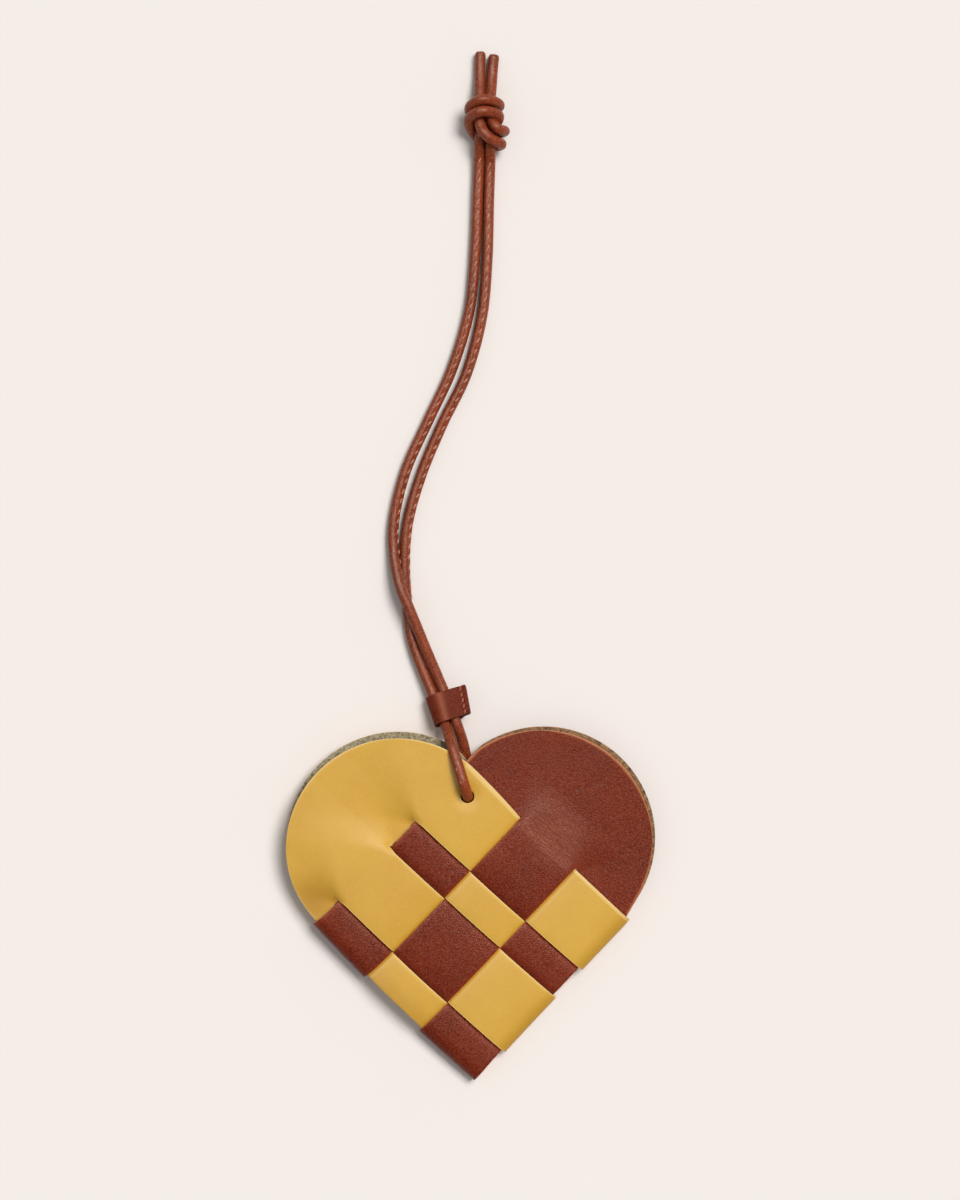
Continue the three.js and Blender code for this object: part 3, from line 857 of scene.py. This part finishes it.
def makeHalf(name, half, materials):
    rows, crossings, isOver, slips = half["rows"], half["crossings"], half["isOver"], half["slips"]
    inner, reach, width = weave["inner"], sum(crossings), sum(rows)
    top = width - weave["edgeInset"]
    radius = (top + weave["notchBulge"]) / 2
    middle = (top - weave["notchBulge"]) / 2
    chord = (weave["roundSink"] + weave["slitRun"]) / radius
    across = rowLines(rows)
    strip = runLines(crossings)
    roundCount, foldCount = weave["roundCount"], weave["foldCount"]
    stations = [("round", 1, 1 - n / roundCount) for n in range(roundCount)]
    stations += [("loop", 1, x) for x in strip]
    stations += [("fold", 1, n / foldCount) for n in range(1, foldCount)]
    stations += [("loop", -1, x) for x in reversed(strip)]
    stations += [("round", -1, (n + 1) / roundCount) for n in range(roundCount)]

    def roundPlace(v, u, side):
        # a square grid eased into the part of the disc that stands past the slits
        wide = u * math.sqrt(1 - v * v / 2)
        high = v * math.sqrt(1 - u * u / 2)
        room = math.sqrt(max(1 - high * high, 0.0))
        share = min(wide / room, 1.0) if room > 1e-6 else 1.0
        high *= math.sqrt(1 - chord * chord)
        x = weave["roundSink"] - radius * (chord + share * (math.sqrt(1 - high * high) - chord))
        slip = slips[0] if side > 0 else slips[1]
        fade = smoothStep(u * 3)
        y = middle + radius * high
        return Vector((x + slip[0] * fade, y + slip[1] * fade, side * loopHeight(half, x, y)))

    def placeOf(k, n):
        kind, side, value = stations[k]
        w, row = across[n]
        inside = min(max(w, sum(rows[:row]) + 0.001), sum(rows[:row + 1]) - 0.001)
        if kind == "round":
            return roundPlace((w - middle) / radius, value, side)
        if kind == "loop":
            y = easeEdge(w, value / crossings[0])
            if value <= -weave["slitRun"]:
                y = middle + (w - middle) * math.sqrt(1 - chord * chord)
            return Vector((value, y, side * loopHeight(half, value, inside)))
        folded = isOver(row, len(crossings) - 1)
        level = loopHeight(half, strip[-1], inside)
        outside = reach + weave["foldProud"] if folded else reach - weave["edgeInset"] - weave["layerGap"]
        long = weave["foldReach"] if folded else inner * weave["foldEase"]
        centre = outside - weave["leather"] / 2 - long
        angle = math.pi * (0.5 - value)
        return Vector((centre + long * math.cos(angle), easeEdge(w, 1.0), level * math.sin(angle)))

    def paleEdgeShare(k, n):
        # how close a place is to a cut edge
        kind, value = stations[k][0], stations[k][2]
        w, row = across[n]
        if kind == "round":
            away = radius * (1 - max(abs(w - middle) / radius, value)) * 0.8  # the grid narrows at the curve
        else:
            low = sum(rows[:row])
            away = min(w - low, low + rows[row] - w)
        return math.exp(-(max(away, 0.0) / weave["paleEdgeWidth"]) ** 2)

    columns, lines = len(stations), len(across)
    bm = bmesh.new()
    bmesh.ops.create_grid(bm, x_segments=columns - 1, y_segments=lines - 1, size=0.5)
    gone = []
    for face in bm.faces:
        centre = face.calc_center_median()
        k = int((centre.x + 0.5) * (columns - 1))
        n = int((centre.y + 0.5) * (lines - 1))
        kind, value = stations[k][0], stations[k][2]
        nextKind, nextValue = stations[k + 1][0], stations[k + 1][2]
        if kind == "round" or nextKind == "round":
            continue
        row = across[n][1]
        if across[n + 1][1] != row:
            gone.append(face)
            continue
        if kind == "fold" or nextKind == "fold":
            place = reach
            crossing = len(crossings) - 1
        else:
            place = (value + nextValue) / 2
            crossing = 0
            edge = crossings[0]
            while place > edge:
                crossing += 1
                edge += crossings[crossing]
        w = (across[n][0] + across[n + 1][0]) / 2
        low = sum(rows[:row])
        high = low + rows[row]
        gap = weave["layerGap"] / 2
        nearLow = w < low + weave["narrow"]
        lastRoom = weave["edgeInset"] + weave["foldRoom"]
        nearHigh = w > high - (lastRoom if row == len(rows) - 1 else weave["narrow"])
        if not (nearLow or nearHigh):
            continue
        under = [not isOver(row, c) for c in range(len(crossings))]
        start = sum(crossings[:crossing])
        end = start + crossings[crossing]
        hidden = under[crossing]
        if not hidden and crossing > 0 and under[crossing - 1] and place < start + gap:
            hidden = True
        if not hidden and crossing < len(crossings) - 1 and under[crossing + 1] and place > end - gap:
            hidden = True
        if hidden and crossing == 0 and place < 0 and not (row == 0 and nearLow):
            hidden = False
        if hidden:
            gone.append(face)
    bmesh.ops.delete(bm, geom=gone, context="FACES")
    highlightAndPaleEdge = bm.verts.layers.float.new("highlightAndPaleEdge")
    crease = bm.verts.layers.float.new("crease")
    paintedShade = bm.verts.layers.float.new("paintedShade")
    trim = bm.verts.layers.float.new("trim")
    flat = bm.loops.layers.uv.new("flat")
    for vert in bm.verts:
        k = round((vert.co.x + 0.5) * (columns - 1))
        n = round((vert.co.y + 0.5) * (lines - 1))
        place = placeOf(k, n)
        vert[highlightAndPaleEdge] = paleEdgeShare(k, n)
        vert[trim] = vert[highlightAndPaleEdge] if half["paleCuts"] or stations[k][0] == "round" else 0.0
        vert[crease] = creaseShare(place) if stations[k][1] > 0 else 0.0
        vert[paintedShade] = paintedShadeShare(place, reach, top)
        for loop in vert.link_loops:
            loop[flat].uv = (place.x * mm, place.y * mm)
        vert.co = place * mm
    return newObject(name, bm, materials)


# wrinkles where the brown lobe climbs to its middle loop, with painted shade in their lines and a painted
# sheen over them
creases = {"middle": (-1.8, 28.5), "run": 5.5, "width": 9.0}


def creaseShare(place):
    x = (place.x - creases["middle"][0]) / creases["run"]
    y = (place.y - creases["middle"][1]) / creases["width"]
    return math.exp(-(x * x + y * y) ** 1.5)


# painted shade: a deeper tone where the leather turns down, away from the light: at the folds, the outer
# loop's side and the lobe's foot
paintedShades = {
    "fold": 4.0, "foldShare": 0.7, "side": 5.0, "sideShare": 0.6,
    "foot": (-4.5, 51.5), "footRun": 6.5, "footWidth": 7.5,
}


def paintedShadeShare(place, reach, top):
    fold = smoothStep(1 - (reach - place.x) / paintedShades["fold"])
    side = smoothStep(1 - (top - place.y) / paintedShades["side"]) if place.x > 0 else 0.0
    x = (place.x - paintedShades["foot"][0]) / paintedShades["footRun"]
    y = (place.y - paintedShades["foot"][1]) / paintedShades["footWidth"]
    return max(paintedShades["foldShare"] * fold, paintedShades["sideShare"] * side, math.exp(-(x * x + y * y)))


# the small unevenness of leather woven by hand: how the far sides of the square bow and drift
uneven = {
    "square": 55.5, "bow": -1.15, "bowPower": 0.8, "drift": -0.93, "sideBow": 0.6, "tuck": -0.9, "tip": 1.57,
}


def handMade(x, y):
    sx = min(max(x / uneven["square"], 0.0), 1.0)
    sy = min(max(y / uneven["square"], 0.0), 1.0)
    across = uneven["bow"] * math.sin(math.pi * sx) ** uneven["bowPower"] * sy ** 2 if 0 < sx < 1 else 0.0
    across += sx ** 6 * (uneven["drift"] * (1 - sy) ** 2 + uneven["sideBow"] * math.sin(math.pi * sy))
    return x + across, y + sx ** 8 * (uneven["tuck"] + uneven["tip"] * sy ** 3)


def layHalf(piece, turned, node):
    # a thickness, the punched hole and rounded rims, then to its place on the table
    bm = bmesh.new()
    bm.from_mesh(piece.data)
    if turned:
        swapped = Matrix(((0, 1, 0, 0), (1, 0, 0, 0), (0, 0, 1, 0), (0, 0, 0, 1)))
        bmesh.ops.transform(bm, matrix=swapped, verts=bm.verts)
    faceUp(bm)
    inset = Vector((weave["holeInset"], weave["holeInset"], 0))
    for vert in bm.verts:
        x, y, z = vert.co / mm
        away = max((Vector((x, y, 0)) - inset).length - weave["holeRadius"], 0.0)
        lifted = smoothStep((z - weave["inner"]) / (weave["outer"] - weave["inner"]))
        # the back is pressed flat by the table
        z = max(z, -weave["outer"] - (-weave["outer"] - z) * weave["restCrown"])
        z -= weave["holeDent"] * lifted * math.exp(-(away / weave["holeDentWidth"]) ** 2)
        vert.co = Vector((*handMade(x, y), z)) * mm
    bm.to_mesh(piece.data)
    bm.free()
    thick = addThickness(piece, weave["leather"])
    thick.use_even_offset = True
    thick.use_quality_normals = True
    thick.material_offset = 1
    applyModifiers(piece)
    cutterMesh = bmesh.new()
    bmesh.ops.create_cone(
        cutterMesh, cap_ends=True, segments=weave["holeSides"],
        radius1=weave["holeRadius"] * mm, radius2=weave["holeRadius"] * mm, depth=20 * mm,
        matrix=Matrix.Translation(inset * mm) @ Matrix.Rotation(weave["holeTurn"], 4, "Z"),
    )
    cutter = newObject("holeCutter", cutterMesh, [])
    cut = piece.modifiers.new("hole", "BOOLEAN")
    cut.operation = "DIFFERENCE"
    cut.solver = "EXACT"
    cut.object = cutter
    addRim(piece, weave["edgeRound"], 2)
    applyModifiers(piece)
    bpy.data.objects.remove(cutter)
    turn = Matrix.Rotation(-math.radians(135 - lie["turn"]), 4, "Z")
    tilt = Matrix.Rotation(math.radians(lie["tilt"]), 4, "X")
    place = Matrix.Translation(Vector(lie["hole"]) * mm)
    piece.data.transform(place @ tilt @ turn @ Matrix.Translation(-inset * mm))
    shadeSmooth(piece)
    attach(piece, "root")
    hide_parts(node)


yellowHalf = makeHalf("yellowHalf", halves["yellow"], [yellowLeather, yellowFlesh, yellowEdge])
brownHalf = makeHalf("brownHalf", halves["brown"], [brownLeather, brownFlesh, brownEdge])
layHalf(yellowHalf, True, "yellow_half")
layHalf(brownHalf, False, "brown_half")
print("woven halves ready")


# Table and light
light = {
    "toKey": (0.46, 0.42, 1.0), "keyAngle": 28, "keyPower": 2.76,
    "toWindows": ((-0.36, 0.38, 1.0), (0.27, 0.44, 1.0)), "windowAngle": 22, "windowPowers": (2.2, 2.6),
    "lampColour": (1.0, 0.99, 0.975), "room": 0.34, "roomColour": (1.0, 0.995, 0.985, 1),
    "table": (0.845, 0.795, 0.76, 1), "tableDeep": 0.992, "tableMottle": 40.0,
    "tableRough": 0.95, "tableGloss": 0.1,
}


def makeStage():
    bm = bmesh.new()
    bmesh.ops.create_grid(bm, x_segments=1, y_segments=1, size=2.0)
    material, tree, shader, place = newMaterial("tablePaper")
    deep = tuple(value * light["tableDeep"] for value in light["table"][:3]) + (1,)
    colour = addMix(tree, addNoise(tree, place, light["tableMottle"]), deep, light["table"])
    tree.links.new(colour, shader.inputs["Base Color"])
    shader.inputs["Roughness"].default_value = light["tableRough"]
    shader.inputs["Specular IOR Level"].default_value = light["tableGloss"]
    floor = newObject("floor", bm, [material])


def makeSun(name, toward, angle, power):
    data = bpy.data.lights.new(name, "SUN")
    data.angle = math.radians(angle)
    data.energy = power
    data.color = light["lampColour"]
    lamp = bpy.data.objects.new(name, data)
    lamp.location = toward
    lamp.rotation_euler = Vector(toward).to_track_quat("Z", "Y").to_euler()
    bpy.context.scene.collection.objects.link(lamp)
    return lamp


def makeWorld():
    world = bpy.data.worlds.new("room")
    world.use_nodes = True
    background = world.node_tree.nodes["Background"]
    background.inputs["Color"].default_value = light["roomColour"]
    background.inputs["Strength"].default_value = light["room"]
    bpy.context.scene.world = world


makeStage()
key = makeSun("key", light["toKey"], light["keyAngle"], light["keyPower"])
key.visible_glossy = False  # its soft shadow is wanted, and the sheen comes from the windows
for number, toward in enumerate(light["toWindows"]):
    window = makeSun("window" + str(number), toward, light["windowAngle"], light["windowPowers"][number])
    window.visible_diffuse = False
makeWorld()
print("table and light ready")
